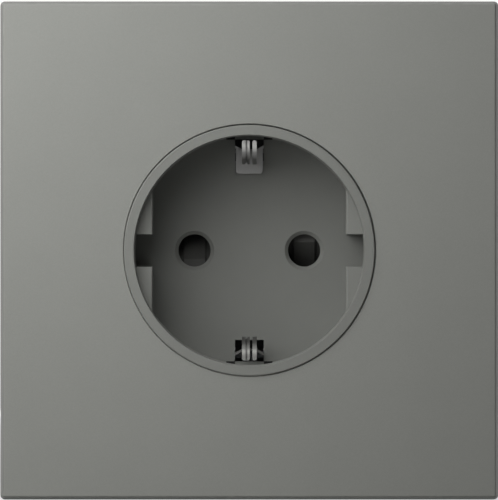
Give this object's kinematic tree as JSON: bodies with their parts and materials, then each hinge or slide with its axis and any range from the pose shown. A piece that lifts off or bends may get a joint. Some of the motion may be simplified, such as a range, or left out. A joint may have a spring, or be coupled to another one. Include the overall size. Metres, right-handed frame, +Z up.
{
  "type": "wall socket",
  "caption": "Square flush wall socket with a round recessed well, pin holes behind a turning shutter, and sprung side earth clips.",
  "frame": {"origin": "centre of the two fixing slots, on the wall surface", "axes": "+X to the right seen from the room, +Y into the wall, +Z up"},
  "size_m": [0.086, 0.0416, 0.086],
  "materials": {
    "plate_grey": "satin metallic grey lacquer",
    "insert_grey": "fine matt moulded grey",
    "zinc_steel": "zinc plated sheet",
    "housing_black": "moulded matt black",
    "shutter_dark": "smooth dark moulding",
    "spring_steel": "drawn spring wire",
    "earth_nickel": "nickel plated spring strip",
    "contact_bronze": "bare spring bronze",
    "terminal_brass": "machined brass",
    "screw_zinc": "zinc plated screw"
  },
  "bodies": {
    "socket": {"cover_plate": "plate_grey", "socket_insert": "insert_grey", "mounting_frame": "zinc_steel", "rear_housing": "housing_black", "rear_cover": "housing_black", "shutter_spring": "spring_steel", "shutter_carrier": "housing_black", "earth_bracket": "earth_nickel", "earth_terminal_plate": "contact_bronze", "earth_rivet": "terminal_brass", "neutral_contact": "contact_bronze", "live_contact": "contact_bronze", "neutral_grip_spring": "spring_steel", "live_grip_spring": "spring_steel", "housing_screws": "screw_zinc", "live_terminal_nut": "terminal_brass", "live_clamp_plate": "zinc_steel", "live_terminal_screw": "screw_zinc", "earth_terminal_nut": "terminal_brass", "earth_clamp_plate": "zinc_steel", "earth_terminal_screw": "screw_zinc", "neutral_terminal_nut": "terminal_brass", "neutral_clamp_plate": "zinc_steel", "neutral_terminal_screw": "screw_zinc"},
    "shutter": {"shutter_rotor": "shutter_dark"}
  },
  "joints": [
    {"name": "shutter_turn", "type": "hinge", "parent": "socket", "child": "shutter", "pos_m": [0, 0.0139, 0], "axis": [0, -1, 0], "range_deg": [0, 36], "stiffness_Nm_per_rad": 0.004, "springref_deg": -11.46, "deforming": ["shutter_spring"]}
  ]
}
